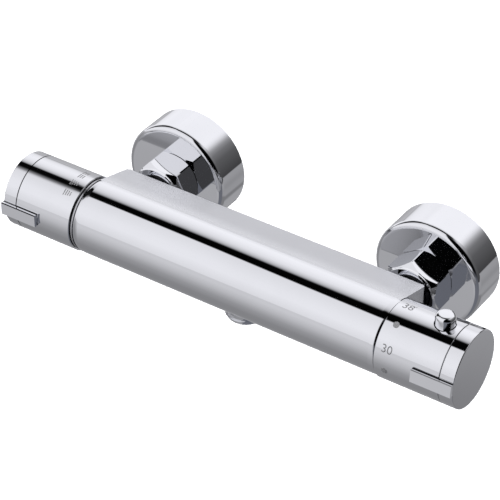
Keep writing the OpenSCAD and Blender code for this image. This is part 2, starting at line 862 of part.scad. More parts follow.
// button with domed top, skirt inside the sleeve, catch flange and peg
module safety_button() {
    r = button_r;
    edge = 2.2;
    dome_r = 40;
    top = button_top;
    skirt_low = catch_low + 0.5;
    flange_r = r + 0.7;
    flange_flat = r + 0.05;
    // the edge rounding runs into the dome without a crease
    edge_z = top - dome_r + sqrt(pow(dome_r - edge, 2) - pow(r - edge, 2));
    meet_r = (r - edge) * dome_r / (dome_r - edge);
    at_temp_knob() translate([button_at, 0, 0]) color(chrome) difference() {
        union() {
            rotate_extrude() {
                translate([0, skirt_low]) square([r, edge_z - skirt_low]);
                intersection() {
                    translate([r - edge, edge_z]) circle(r = edge);
                    translate([meet_r, skirt_low]) square([r, top]);
                }
                intersection() {
                    translate([0, top - dome_r]) circle(r = dome_r);
                    translate([0, skirt_low]) square([meet_r, top]);
                }
            }
            intersection() {
                translate([0, 0, catch_low]) cylinder(h = catch_t, r = flange_r);
                translate([-r - 1, -r - 1, catch_low - 1]) cube([r + 1 + flange_flat, 2 * r + 2, catch_t + 2]);
            }
            translate([-r - 5.2, -1.3, catch_low]) cube([6, 2.6, catch_t]);
        }
        translate([0, 0, catch_low - 1.5]) cylinder(h = 9, r = 2.9);
    }
}

module safety_button_spring() {
    at_temp_knob() translate([button_at, 0, button_spring_low]) color(steel)
        coil(2.2, 0.3, 10.2, 6);
}

// torus about X
module ring_x(r, w, x) {
    translate([x, 0, 0]) rotate([0, 90, 0]) rotate_extrude() translate([r, 0]) circle(r = w);
}

module sealing_rings() {
    at_bar() color(rubber) {
        for (x = thermo_ring_x)
            ring_x(thermo_bore_r - thermo_ring_w - 0.05, thermo_ring_w, x);
        for (x = flow_ring_x)
            ring_x(flow_bore_r - flow_ring_w - 0.05, flow_ring_w, x);
    }
}

valve_body();
outlet_nipple();
inlet_tail(-1);  // left_inlet_tail
inlet_tail(1);  // right_inlet_tail
union_nut(-1, nut_turn_left);  // left_union_nut
union_nut(1, nut_turn_right);  // right_union_nut
inlet_washer(-1);  // left_inlet_washer
inlet_washer(1);  // right_inlet_washer
inlet_strainer(-1);  // left_inlet_strainer
inlet_strainer(1);  // right_inlet_strainer
check_housing(-1);  // left_check_housing
check_housing(1);  // right_check_housing
check_poppet(-1);  // left_check_poppet
check_poppet(1);  // right_check_poppet
check_spring(-1);  // left_check_spring
check_spring(1);  // right_check_spring
eccentric_union(-1);  // left_eccentric_union
eccentric_union(1);  // right_eccentric_union
escutcheon(-1);  // left_escutcheon
escutcheon(1);  // right_escutcheon
flow_seam_ring();
flow_cartridge_housing();
flow_retaining_nut();
flow_disc_seal();
flow_fixed_disc();
flow_moving_disc();
flow_spindle();
flow_spline_insert();
flow_knob_screw();
flow_sleeve();
flow_end_cap();
thermostat_housing();
thermostat_retaining_nut();
thermostat_wax_element();
thermostat_shuttle();
thermostat_pusher();
thermostat_return_spring();
temperature_spindle();
temperature_stop_ring();
temperature_spline_insert();
temperature_knob_screw();
temperature_sleeve();
temperature_end_cap();
safety_button();
safety_button_spring();
sealing_rings();
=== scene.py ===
"""Looks of a thermostatic bar shower valve: finishes, pipe threads, dial marks and studio.

Every length is in metres, in the frame of the packed model: X runs along the bar towards
the temperature knob, Y towards the wall and Z up.
"""

import json
import math

import bmesh
import bpy
from bpy.props import FloatProperty, FloatVectorProperty, IntProperty, PointerProperty
from mathutils import Matrix, Vector


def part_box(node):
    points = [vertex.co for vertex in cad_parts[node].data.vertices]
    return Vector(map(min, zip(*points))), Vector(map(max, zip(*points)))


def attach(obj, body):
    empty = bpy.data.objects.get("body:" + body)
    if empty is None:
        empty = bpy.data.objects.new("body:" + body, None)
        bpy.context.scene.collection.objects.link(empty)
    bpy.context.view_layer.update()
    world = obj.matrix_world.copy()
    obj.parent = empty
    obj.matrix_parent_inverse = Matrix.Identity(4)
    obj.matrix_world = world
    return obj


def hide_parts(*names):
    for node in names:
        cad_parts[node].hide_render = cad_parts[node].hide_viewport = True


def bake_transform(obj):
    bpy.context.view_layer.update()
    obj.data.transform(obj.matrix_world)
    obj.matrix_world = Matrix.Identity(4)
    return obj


bl_info = {
    "name": "Bar shower valve",
    "version": (1, 0, 0),
    "blender": (4, 5, 0),
    "location": "View3D > Sidebar > Shower valve",
    "description": "Builds the finishes, threads, marks and studio of a bar shower valve",
    "category": "Object",
}

MM = 0.001
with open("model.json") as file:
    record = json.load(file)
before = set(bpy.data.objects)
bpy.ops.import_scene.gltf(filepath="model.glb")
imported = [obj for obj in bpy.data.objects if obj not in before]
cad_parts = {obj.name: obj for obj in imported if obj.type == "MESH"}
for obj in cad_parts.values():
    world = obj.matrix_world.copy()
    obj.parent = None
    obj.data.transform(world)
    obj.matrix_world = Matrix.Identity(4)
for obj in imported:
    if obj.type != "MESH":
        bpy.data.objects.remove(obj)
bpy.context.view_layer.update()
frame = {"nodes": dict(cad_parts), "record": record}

# The bar's axis and the knobs' radius, read from the packed sleeves
_low, _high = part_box("temperature_sleeve")
BAR_Y = (_low.y + _high.y) / 2
BAR_Z = (_low.z + _high.z) / 2
KNOB_R = (_high.y - _low.y) / 2
TEMPERATURE_X = _low.x
FLOW_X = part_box("flow_sleeve")[1].x
BODY_END, BODY_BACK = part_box("valve_body")[1].xy
NUT_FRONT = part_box("left_union_nut")[0].y
# The outlet and the two supply tails
_low, _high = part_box("outlet_nipple")
OUTLET = Vector(((_low.x + _high.x) / 2, (_low.y + _high.y) / 2, _low.z))
THREAD_R = (_high.x - _low.x) / 2
TAIL_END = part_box("left_eccentric_union")[1].y
INLET_X = {side: sum(c.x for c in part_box(side + "_eccentric_union")) / 2 for side in ("left", "right")}


# ---------------------------------------------------------------- settings


class FinishSettings(bpy.types.PropertyGroup):
    """Colours and wear of the valve's materials"""

    chrome: FloatVectorProperty(
        name="Chrome", description="Colour of the polished plating",
        default=(0.86, 0.865, 0.885), subtype="COLOR", min=0.0, max=1.0)
    brass: FloatVectorProperty(
        name="Brass", description="Colour of the bare turned brass",
        default=(0.78, 0.60, 0.30), subtype="COLOR", min=0.0, max=1.0)
    ink: FloatVectorProperty(
        name="Mark colour", description="Colour of the etched dial marks",
        default=(0.13, 0.13, 0.135), subtype="COLOR", min=0.0, max=1.0)
    haze: FloatProperty(
        name="Haze", description="Roughness of the cleanest chrome",
        default=0.035, min=0.0, max=0.3, subtype="FACTOR")
    wipe: FloatProperty(
        name="Wiping marks", description="Roughness that fine wiping marks add",
        default=0.05, min=0.0, max=0.3, subtype="FACTOR")
    satin: FloatProperty(
        name="Satin back", description="Roughness of the flat back of the body",
        default=0.42, min=0.0, max=1.0, subtype="FACTOR")
    crown: FloatProperty(
        name="Crown", description="Height by which the body's flat back swells where the round front ends",
        default=1.25 * MM, min=0.0, max=3 * MM, unit="LENGTH", precision=5)
    lean: FloatProperty(
        name="Lever lean", description="Angle by which the lever's face leans back",
        default=math.radians(5.5), min=0.0, max=0.5, subtype="ANGLE")
    ripple: FloatProperty(
        name="Ripple", description="Height of the slow ripple in the plating",
        default=0.0000025, min=0.0, max=0.0001, unit="LENGTH", precision=7)


class ThreadSettings(bpy.types.PropertyGroup):
    """Sizes of the half inch pipe threads"""

    pitch: FloatProperty(
        name="Pitch", description="Distance from crest to crest",
        default=1.814 * MM, min=0.5 * MM, max=4 * MM, unit="LENGTH", precision=5)
    depth: FloatProperty(
        name="Depth", description="Height of a crest above the root",
        default=1.05 * MM, min=0.2 * MM, max=2 * MM, unit="LENGTH", precision=5)
    steps: IntProperty(
        name="Steps", description="Faces around one turn of thread",
        default=72, min=16, max=160)


class DialSettings(bpy.types.PropertyGroup):
    """Numbers and dots around the temperature knob"""

    station: FloatProperty(
        name="Place", description="Distance of the marks from the knob's inner end",
        default=6.1 * MM, min=2 * MM, max=20 * MM, unit="LENGTH", precision=5)
    step: FloatProperty(
        name="Step", description="Turn from one mark to the next",
        default=math.radians(35.5), min=0.1, max=1.2, subtype="ANGLE")
    top: FloatProperty(
        name="Safety mark", description="Place of the 38 degree mark around the bar, from the front upwards",
        default=math.radians(94.5), min=0.0, max=3.2, subtype="ANGLE")
    height: FloatProperty(
        name="Number height", description="Height of the numbers",
        default=4.1 * MM, min=1 * MM, max=8 * MM, unit="LENGTH", precision=5)
    dot: FloatProperty(
        name="Dot", description="Diameter of a dot",
        default=3.2 * MM, min=1 * MM, max=6 * MM, unit="LENGTH", precision=5)
    degree_along: FloatProperty(
        name="Degree sign along", description="Distance of the degree sign from the middle of its number",
        default=2.7 * MM, min=0.0, max=6 * MM, unit="LENGTH", precision=5)
    degree_up: FloatProperty(
        name="Degree sign up", description="Height of the degree sign above the middle of its number",
        default=1.75 * MM, min=0.0, max=4 * MM, unit="LENGTH", precision=5)
    thickness: FloatProperty(
        name="Mark thickness", description="How far a mark stands proud of the chrome",
        default=0.02 * MM, min=0.005 * MM, max=0.1 * MM, unit="LENGTH", precision=6)


class FlowSettings(bpy.types.PropertyGroup):
    """Graduated bars around the flow knob"""

    station: FloatProperty(
        name="Place", description="Distance of the bars' middle from the knob's inner end",
        default=6.6 * MM, min=2 * MM, max=20 * MM, unit="LENGTH", precision=5)
    spread: FloatProperty(
        name="Spacing", description="Distance from one bar to the next",
        default=1.25 * MM, min=0.5 * MM, max=3 * MM, unit="LENGTH", precision=5)
    width: FloatProperty(
        name="Bar width", description="Width of one bar",
        default=0.55 * MM, min=0.2 * MM, max=1.5 * MM, unit="LENGTH", precision=5)
    length: FloatProperty(
        name="Bar length", description="Length of the longest bar",
        default=3.6 * MM, min=1 * MM, max=6 * MM, unit="LENGTH", precision=5)


class StudioSettings(bpy.types.PropertyGroup):
    """Floor, lamp and surroundings"""

    drop: FloatProperty(
        name="Floor", description="Depth of the floor below the wall centre",
        default=0.42, min=0.05, max=2.0, unit="LENGTH")
    floor: FloatVectorProperty(
        name="Floor colour", description="Colour of the pale floor",
        default=(0.93, 0.93, 0.935), subtype="COLOR", min=0.0, max=1.0)
    lamp: FloatProperty(
        name="Lamp power", description="Power of the soft lamp overhead",
        default=46.0, min=0.0, max=500.0, unit="POWER")
    level: FloatProperty(
        name="Surroundings", description="Strength of the studio surroundings",
        default=1.0, min=0.0, max=3.0)


# ---------------------------------------------------------------- node helpers


def new_tree(name, kind, inputs, *outputs):
    """Makes a node group with the named sockets and returns it with its two ends.

    An input without a number has the type of its name, such as Vector.
    """
    tree = bpy.data.node_groups.new(name, kind)
    add = tree.interface.new_socket
    for label, default in inputs.items():
        if default is None:
            add(name=label, in_out="INPUT", socket_type="NodeSocket" + label)
        else:
            number = "NodeSocketInt" if isinstance(default, int) else "NodeSocketFloat"
            add(name=label, in_out="INPUT", socket_type=number).default_value = default
    for label in outputs:
        result = "NodeSocketGeometry" if label == "Geometry" else "NodeSocketFloat"
        add(name=label, in_out="OUTPUT", socket_type=result)
    return tree, tree.nodes.new("NodeGroupInput"), tree.nodes.new("NodeGroupOutput")


def join(tree, source, target):
    tree.links.new(source, target)


def feed(tree, socket, value):
    """Sets a socket to a number, or links it to another node's socket."""
    if isinstance(value, bpy.types.NodeSocket):
        tree.links.new(value, socket)
    else:
        socket.default_value = value


def wire(tree, node, **inputs):
    """Sets or links a node's inputs, called by their names with _ for a space."""
    for label, value in inputs.items():
        feed(tree, node.inputs[label.replace("_", " ")], value)
    return node


def add_node(tree, kind, **inputs):
    return wire(tree, tree.nodes.new(kind), **inputs)


def maths(tree, operation, *values):
    node = tree.nodes.new("ShaderNodeMath")
    node.operation = operation
    for socket, value in zip(node.inputs, values):
        feed(tree, socket, value)
    return node.outputs[0]


def product(tree, *values):
    result = values[0]
    for value in values[1:]:
        result = maths(tree, "MULTIPLY", result, value)
    return result


def apart(tree, vector):
    """The three numbers of a vector."""
    node = tree.nodes.new("ShaderNodeSeparateXYZ")
    join(tree, vector, node.inputs[0])
    return node.outputs


def together(tree, x=0.0, y=0.0, z=0.0):
    """A vector of three numbers."""
    node = tree.nodes.new("ShaderNodeCombineXYZ")
    for socket, value in zip(node.inputs, (x, y, z)):
        feed(tree, socket, value)
    return node.outputs[0]


def distance(tree, first, second):
    """Distance of a point that lies first one way and second across it."""
    squares = maths(tree, "MULTIPLY_ADD", first, first, maths(tree, "MULTIPLY", second, second))
    return maths(tree, "SQRT", squares)


def clipped(tree, value, low, high):
    return maths(tree, "MAXIMUM", maths(tree, "MINIMUM", value, high), low)


def ease(tree, value, low, high):
    """0 on the side of low, 1 on the side of high and a smooth step between; low may be the larger."""
    node = add_node(tree, "ShaderNodeMapRange", Value=value, From_Min=low, From_Max=high)
    node.interpolation_type = "SMOOTHSTEP"
    return node.outputs[0]


def blend_colour(tree, factor, first, second):
    node = tree.nodes.new("ShaderNodeMix")
    node.data_type = "RGBA"
    feed(tree, node.inputs[0], factor)
    feed(tree, node.inputs[6], first)
    feed(tree, node.inputs[7], second)
    return node.outputs[2]


def ramp(tree, value, stops):
    node = tree.nodes.new("ShaderNodeValToRGB")
    join(tree, value, node.inputs[0])
    elements = node.color_ramp.elements
    elements[0].position, elements[0].color = stops[0][0], (*stops[0][1], 1)
    elements[1].position, elements[1].color = stops[-1][0], (*stops[-1][1], 1)
    for place, colour in stops[1:-1]:
        elements.new(place).color = (*colour, 1)
    return node.outputs[0]


# ---------------------------------------------------------------- finishes


# Every material by its name
FINISH = {}
# Painted shade: the dark colour painted on the plating at the body's end beside the temperature knob, on the
# shelf on top of each lever and in a ring on each nut's front face
PAINTED_SHADE = (0.015, 0.015, 0.017, 1)
# Bare metals and moulded materials: scale of the ripple and of the marks, roughness where clean and where
# worn, what dull patches do to the colour, height of the grain, and then the scale of a metal's tool lines
# or the specular level of what is moulded
WEAR_KEYS = ("ripple_scale", "mark_scale", "clean", "worn")
METAL_KEYS = WEAR_KEYS + ("dull", "height", "line_scale")
METALS = {
    "brass": (120.0, 900.0, 0.22, 0.38, 0.82, 0.00001, 700.0),
    "spring_steel": (150.0, 1500.0, 0.2, 0.34, 0.8, 0.000008, 1200.0),
    "wax_copper": (120.0, 900.0, 0.24, 0.42, 0.75, 0.00001, 500.0),
}
MOULDED_KEYS = WEAR_KEYS + ("dull", "height", "specular")
MOULDED = {
    "rubber_seal": (260.0, 1800.0, 0.5, 0.68, 1.6, 0.00002, 0.35),
    "white_plastic": (180.0, 1600.0, 0.34, 0.46, 0.95, 0.00001, 0.5),
    "dark_plastic": (180.0, 1600.0, 0.16, 0.26, 1.3, 0.000006, 0.5),
    "seam_ring": (180.0, 1600.0, 0.16, 0.26, 1.3, 0.000006, 0.4),
    "ceramic_disc": (90.0, 700.0, 0.16, 0.24, 0.97, 0.000004, 0.6),
    "etched_marks": (300.0, 2600.0, 0.42, 0.62, 1.25, 0.000006, 0.4),
}
COLOURS = {
    "spring_steel": (0.62, 0.63, 0.65), "wax_copper": (0.80, 0.46, 0.33),
    "rubber_seal": (0.022, 0.022, 0.024), "white_plastic": (0.78, 0.78, 0.75),
    "dark_plastic": (0.03, 0.03, 0.036), "seam_ring": (0.012, 0.012, 0.014),
    "ceramic_disc": (0.86, 0.85, 0.80),
}
# Colour of the seam ring's bright crest, how metallic it is, and its distance from the bar's axis
CREST = dict(crest=(0.46, 0.46, 0.48), crest_metal=0.9, crest_from=KNOB_R - 1.7 * MM)


def polish_group():
    """Slow ripple, fine wiping marks and dull patches of a polished or moulded surface."""
    tree, inner, outer = new_tree(
        "surface_wear", "ShaderNodeTree",
        {"Vector": None, "Ripple Scale": 60.0, "Mark Scale": 900.0, "Clean": 0.04, "Worn": 0.09},
        "Roughness", "Height", "Patches")
    given = inner.outputs
    slow = add_node(tree, "ShaderNodeTexNoise", Vector=given["Vector"], Scale=given["Ripple Scale"],
                    Detail=2.0)
    stretch = add_node(tree, "ShaderNodeMapping", Vector=given["Vector"], Rotation=(0.0, 0.35, 0.2),
                       Scale=(0.12, 1.0, 1.0))
    marks = add_node(tree, "ShaderNodeTexNoise", Vector=stretch.outputs[0], Scale=given["Mark Scale"],
                     Detail=5.0, Roughness=0.65)
    lines = ease(tree, marks.outputs[0], 0.52, 0.78)
    patches = ease(tree, slow.outputs[0], 0.42, 0.72)
    worn = product(tree, lines, maths(tree, "MULTIPLY_ADD", patches, 0.7, 0.3))
    span = maths(tree, "SUBTRACT", given["Worn"], given["Clean"])
    rough = maths(tree, "MULTIPLY_ADD", worn, span, given["Clean"])
    wire(tree, outer, Roughness=rough, Height=slow.outputs[0], Patches=patches)
    return tree


def turned_group():
    """Fine tool lines left by the lathe, and the grain of the bar stock."""
    tree, inner, outer = new_tree("turning_lines", "ShaderNodeTree", {"Vector": None, "Line Scale": 900.0},
                                  "Lines", "Tint")
    given = inner.outputs
    wave = add_node(tree, "ShaderNodeTexWave", Vector=given["Vector"], Scale=given["Line Scale"],
                    Distortion=0.6, Detail=3.0)
    wave.wave_type = "BANDS"
    wave.bands_direction = "DIAGONAL"
    grain = add_node(tree, "ShaderNodeTexNoise", Vector=given["Vector"], Scale=140.0, Detail=4.0)
    wire(tree, outer, Lines=wave.outputs["Fac"], Tint=grain.outputs[0])
    return tree


def new_material(name):
    material = bpy.data.materials.new(name)
    material.use_nodes = True
    tree = material.node_tree
    shader = tree.nodes["Principled BSDF"]
    place = tree.nodes.new("ShaderNodeTexCoord")
    return material, tree, shader, place.outputs["Object"]


def bump(tree, shader, height, size):
    node = add_node(tree, "ShaderNodeBump", Height=height, Distance=size)
    join(tree, node.outputs[0], shader.inputs["Normal"])


def use_group(tree, group, place, **values):
    node = tree.nodes.new("ShaderNodeGroup")
    node.node_tree = group
    return wire(tree, node, Vector=place, **{label.title(): value for label, value in values.items()})


def place_on_bar(tree, place):
    """Where a point is: along the bar, behind its axis, above it, and how far from the axis."""
    along, back, up = apart(tree, place)
    deep, high = maths(tree, "SUBTRACT", back, BAR_Y), maths(tree, "SUBTRACT", up, BAR_Z)
    return along, deep, high, distance(tree, deep, high)


def lever_looks(tree, place, finish, colour, height):
    """Paints shade on the shelf on top of a lever where it meets the sleeve, and leans the lever's face back.
    """
    along, _, high, far = place_on_bar(tree, place)
    # only faces that look up, by the height of their normal
    upwards = ease(tree, apart(tree, place.node.outputs["Normal"])[2], 0.96, 0.985)
    outside = ease(tree, far, KNOB_R + 0.02 * MM, KNOB_R + 0.1 * MM)
    # the strip of painted shade is wider on the temperature knob
    reach = maths(tree, "MULTIPLY_ADD", ease(tree, along, 0.0, 10 * MM), -0.5 * MM, far)
    painted_shelf_shade = product(tree, upwards, outside, ease(tree, reach, KNOB_R + 1.0 * MM, KNOB_R + 0.7 * MM))
    on_lever = ease(tree, far, KNOB_R + 0.3 * MM, KNOB_R + 0.8 * MM)
    slope = maths(tree, "MULTIPLY", high, -math.tan(finish["lean"]) / finish["height"])
    # the shelf gets the painted shade colour; the lean is only a bump
    return blend_colour(tree, painted_shelf_shade, colour, PAINTED_SHADE), maths(tree, "MULTIPLY_ADD", on_lever, slope, height)


def body_looks(tree, place, finish, colour, rough, height):
    """Paints shade on the seam beside the temperature knob, brushes the flat back and swells it a little."""
    along, deep, _, far = place_on_bar(tree, place)
    # painted shade: the body's end beside the temperature knob, inside the knob's radius, is coloured dark
    seam = product(tree, ease(tree, along, BODY_END - 0.3 * MM, BODY_END - 0.15 * MM),
                   ease(tree, far, KNOB_R, KNOB_R - 0.2 * MM))
    back = BODY_BACK - BAR_Y
    flat = product(tree, ease(tree, deep, finish["satin_from"], finish["satin_to"]),
                   ease(tree, deep, back - 0.2 * MM, back - 1.2 * MM))
    # the flat runs over from the round front in a slow crown, not in a sharp line
    crown = ease(tree, deep, finish["crown_from"], finish["crown_to"])
    return (blend_colour(tree, seam, colour, PAINTED_SHADE),
            maths(tree, "MULTIPLY_ADD", flat, finish["satin"], rough),
            maths(tree, "MULTIPLY_ADD", crown, finish["crown"] / finish["height"], height))


def nut_looks(tree, place, finish, colour):
    """Paints shade in a ring on the front face of a nut beside the body, deeper towards the temperature knob.
    """
    along, deep, high, _ = place_on_bar(tree, place)
    middle = maths(tree, "MULTIPLY_ADD", maths(tree, "SIGN", along), INLET_X["right"], finish["collar_shift"])
    around = distance(tree, maths(tree, "SUBTRACT", along, middle), high)
    front = NUT_FRONT - BAR_Y
    # the ring of painted shade on the nut's front face
    collar = product(tree, ease(tree, around, finish["collar"] + 0.2 * MM, finish["collar"] - 0.2 * MM),
                     ease(tree, deep, front + 0.4 * MM, front + 0.2 * MM))
    return blend_colour(tree, collar, colour, PAINTED_SHADE)


def worn_surface(name, colour, wear, finish):
    """A new material, with its wear and its colour, which shifts a little to a duller one in patches."""
    material, tree, shader, place = new_material(name)
    worn = use_group(tree, wear, place, **{key: finish[key] for key in WEAR_KEYS})
    dull = tuple(c * finish["dull"] for c in colour)
    return material, tree, shader, place, worn, (*colour, 1), (*dull, 1)


def metal(name, colour, wear, lines, finish):
    """Polished or turned metal: colour shifts a little with the patches, marks dull it."""
    material, tree, shader, place, worn, clean, dull = worn_surface(name, colour, wear, finish)
    tint, rough, height = (worn.outputs[label] for label in ("Patches", "Roughness", "Height"))
    if lines:
        cut = use_group(tree, lines, place, line_scale=finish["line_scale"])
        tint = cut.outputs["Tint"]
        height = maths(tree, "MULTIPLY_ADD", cut.outputs["Lines"], 0.5, height)
    shade = blend_colour(tree, tint, clean, dull)
    # the levers, the body and the nuts get painted shade in their colour
    if "lean" in finish:
        shade, height = lever_looks(tree, place, finish, shade, height)
    if "satin" in finish:
        shade, rough, height = body_looks(tree, place, finish, shade, rough, height)
    if "collar" in finish:
        shade = nut_looks(tree, place, finish, shade)
    wire(tree, shader, Metallic=1.0, Base_Color=shade, Roughness=rough)
    bump(tree, shader, height, finish["height"])
    return material


def moulded(name, colour, wear, finish):
    """Moulded plastic, rubber or ceramic with a fine grain and slightly uneven colour.

    With a crest, the colour changes to that of the crest beyond a distance from the bar's axis.
    """
    material, tree, shader, place, worn, clean, dull = worn_surface(name, colour, wear, finish)
    shade = blend_colour(tree, worn.outputs["Patches"], clean, dull)
    if "crest" in finish:
        far = place_on_bar(tree, place)[3]
        on_crest = ease(tree, far, finish["crest_from"], finish["crest_from"] + 0.2 * MM)
        shade = blend_colour(tree, on_crest, shade, (*finish["crest"], 1))
        wire(tree, shader, Metallic=product(tree, on_crest, finish["crest_metal"]))
    wire(tree, shader, Base_Color=shade, Roughness=worn.outputs["Roughness"],
         Specular_IOR_Level=finish["specular"])
    bump(tree, shader, worn.outputs["Height"], finish["height"])
    return material


class VALVE_OT_finishes(bpy.types.Operator):
    """Make the materials and put them on the packed pieces"""

    bl_idname = "valve.finishes"
    bl_label = "Finishes"

    def execute(self, context):
        look = context.scene.valve_finish
        wear, lines = polish_group(), turned_group()
        colours = COLOURS | {"brass": tuple(look.brass), "etched_marks": tuple(look.ink)}
        for name, values in METALS.items():
            FINISH[name] = metal(name, colours[name], wear, lines, dict(zip(METAL_KEYS, values)))
        for name, values in MOULDED.items():
            crest = CREST if name == "seam_ring" else {}
            FINISH[name] = moulded(name, colours[name], wear, dict(zip(MOULDED_KEYS, values)) | crest)
        plating = dict(ripple_scale=45.0, mark_scale=700.0, clean=look.haze, worn=look.haze + look.wipe,
                       dull=0.985, height=look.ripple)
        special = {
            "chrome_plating": {},
            "body_plating": dict(satin=look.satin, satin_from=1 * MM, satin_to=13 * MM,
                                 crown=look.crown, crown_from=-3 * MM, crown_to=15 * MM),
            "cap_plating": dict(lean=look.lean),
            # collar is the radius of the ring of painted shade on a nut's front face, collar_shift moves its
            # middle along the bar
            "nut_plating": dict(collar=11.7 * MM, collar_shift=2 * MM),
        }
        for name, more in special.items():
            FINISH[name] = metal(name, tuple(look.chrome), wear, None, plating | more)
        for part in frame["record"]["subparts"]:
            for slot in frame["nodes"][part["node"]].material_slots:
                slot.material = FINISH[part["material_slot"]]
        for node, name in (("valve_body", "body_plating"), ("flow_seam_ring", "seam_ring"),
                           ("flow_end_cap", "cap_plating"), ("temperature_end_cap", "cap_plating"),
                           ("left_union_nut", "nut_plating"), ("right_union_nut", "nut_plating")):
            frame["nodes"][node].material_slots[0].material = FINISH[name]
        return {"FINISHED"}


# ---------------------------------------------------------------- mesh helpers


# Edges that bend more than this stay sharp
SHARP = math.radians(32)


def linked(name, data):
    """A new object in the scene."""
    made = bpy.data.objects.new(name, data)
    bpy.context.scene.collection.objects.link(made)
    return made


def put_object(name, mesh, material, body=None):
    """Links a finished mesh as a piece that rides on a body, where one is given."""
    mesh.materials.clear()
    mesh.materials.append(material)
    piece = linked(name, mesh)
    mesh.shade_smooth()
    mesh.set_sharp_from_angle(angle=SHARP)
    if body:
        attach(piece, body)
    return piece


def grown(tree, material, values, source=None):
    """Runs a Geometry Nodes tree on a mesh and returns the result as a plain mesh."""
    seed = linked("growing", source or bpy.data.meshes.new("growing"))
    modifier = seed.modifiers.new("nodes", "NODES")
    modifier.node_group = tree
    identifiers = {item.name: item.identifier for item in tree.interface.items_tree
                   if item.item_type == "SOCKET" and item.in_out == "INPUT"}
    for label, value in values.items():
        modifier[identifiers[label]] = value
    modifier[identifiers["Material"]] = material
    evaluated = seed.evaluated_get(bpy.context.evaluated_depsgraph_get())
    mesh = bpy.data.meshes.new_from_object(evaluated)
    seed.modifiers.remove(modifier)
    bpy.data.objects.remove(seed)
    return mesh


def merged_copy(node):
    """The points and faces of a packed node's mesh, its loose triangles joined."""
    shape = bmesh.new()
    shape.from_mesh(frame["nodes"][node].data)
    bmesh.ops.remove_doubles(shape, verts=shape.verts, dist=1e-6)
    points = [v.co.copy() for v in shape.verts]
    shape.verts.index_update()
    faces = [[v.index for v in f.verts] for f in shape.faces]
    shape.free()
    return points, faces


def mesh_of(name, points, faces):
    mesh = bpy.data.meshes.new(name)
    mesh.from_pydata(points, [], faces)
    return mesh


def add_mesh(shape, mesh):
    """Moves a mesh into a bmesh."""
    shape.from_mesh(mesh)
    bpy.data.meshes.remove(mesh)


def finished(shape, name):
    """Turns a bmesh into a mesh."""
    mesh = bpy.data.meshes.new(name)
    shape.to_mesh(mesh)
    shape.free()
    return mesh


# ---------------------------------------------------------------- threads


# Outline of a thread's ridge, as shares of its depth and of its pitch; it starts buried under the root
BURIED = -0.14
RIDGE = [(BURIED, -0.53), (0.84, -0.15), (1.0, -0.07), (1.0, 0.07), (0.84, 0.15), (BURIED, 0.53),
         (BURIED, -0.53)]
# Length of the outlet's thread, and how far the unions' threads stand out of the wall
OUTLET_THREAD = 5.36 * MM
WALL_THREAD = 2.8 * MM


def position(tree):
    """The three numbers of a point's place."""
    return apart(tree, tree.nodes.new("GeometryNodeInputPosition").outputs[0])


def thread_tree():
    """A helical ridge around Z that starts at Z = 0, fades in and out and is closed."""
    tree, inner, outer = new_tree(
        "pipe_thread", "GeometryNodeTree",
        {"Root Radius": 0.0094, "Depth": 0.001, "Pitch": 0.0018, "Turns": 3.0, "Steps": 200,
         "Material": None}, "Geometry")
    given = inner.outputs
    grid = add_node(tree, "GeometryNodeMeshGrid", Vertices_X=given["Steps"], Vertices_Y=len(RIDGE))
    x, y, _ = position(tree)
    along = maths(tree, "ADD", x, 0.5)
    corner = maths(tree, "ROUND", product(tree, maths(tree, "ADD", y, 0.5), len(RIDGE) - 1.0))
    picks = []
    for k in (0, 1):
        pick = tree.nodes.new("GeometryNodeIndexSwitch")
        pick.data_type = "FLOAT"
        while len(pick.index_switch_items) < len(RIDGE):
            pick.index_switch_items.new()
        join(tree, corner, pick.inputs[0])
        for socket, point in zip(list(pick.inputs)[1:len(RIDGE) + 1], RIDGE):
            socket.default_value = point[k]
        picks.append(pick.outputs[0])
    done = product(tree, along, given["Turns"])
    to_come = product(tree, maths(tree, "SUBTRACT", 1.0, along), given["Turns"])
    # the ridge rises out of the root over a third of a turn, and goes back so at its end
    fade = maths(tree, "MINIMUM", product(tree, maths(tree, "MINIMUM", done, to_come), 3.0), 1.0)
    buried = product(tree, given["Depth"], BURIED)
    height = maths(tree, "SUBTRACT", product(tree, picks[0], given["Depth"]), buried)
    radius = maths(tree, "ADD", given["Root Radius"], maths(tree, "MULTIPLY_ADD", height, fade, buried))
    rise = maths(tree, "MULTIPLY_ADD", product(tree, picks[1], fade), given["Pitch"],
                 product(tree, done, given["Pitch"]))
    angle = product(tree, done, 2 * math.pi)
    spot = together(tree, product(tree, radius, maths(tree, "COSINE", angle)),
                    product(tree, radius, maths(tree, "SINE", angle)), rise)
    shift = add_node(tree, "GeometryNodeSetPosition", Geometry=grid.outputs["Mesh"], Position=spot)
    weld = add_node(tree, "GeometryNodeMergeByDistance", Geometry=shift.outputs[0], Distance=1e-7)
    finish_tree(tree, weld.outputs[0], inner, outer)
    return tree


def finish_tree(tree, geometry, inner, outer):
    """Ends a tree: its copies become real and get the material."""
    real = add_node(tree, "GeometryNodeRealizeInstances", Geometry=geometry)
    paint = add_node(tree, "GeometryNodeSetMaterial", Geometry=real.outputs[0],
                     Material=inner.outputs["Material"])
    join(tree, paint.outputs[0], outer.inputs["Geometry"])


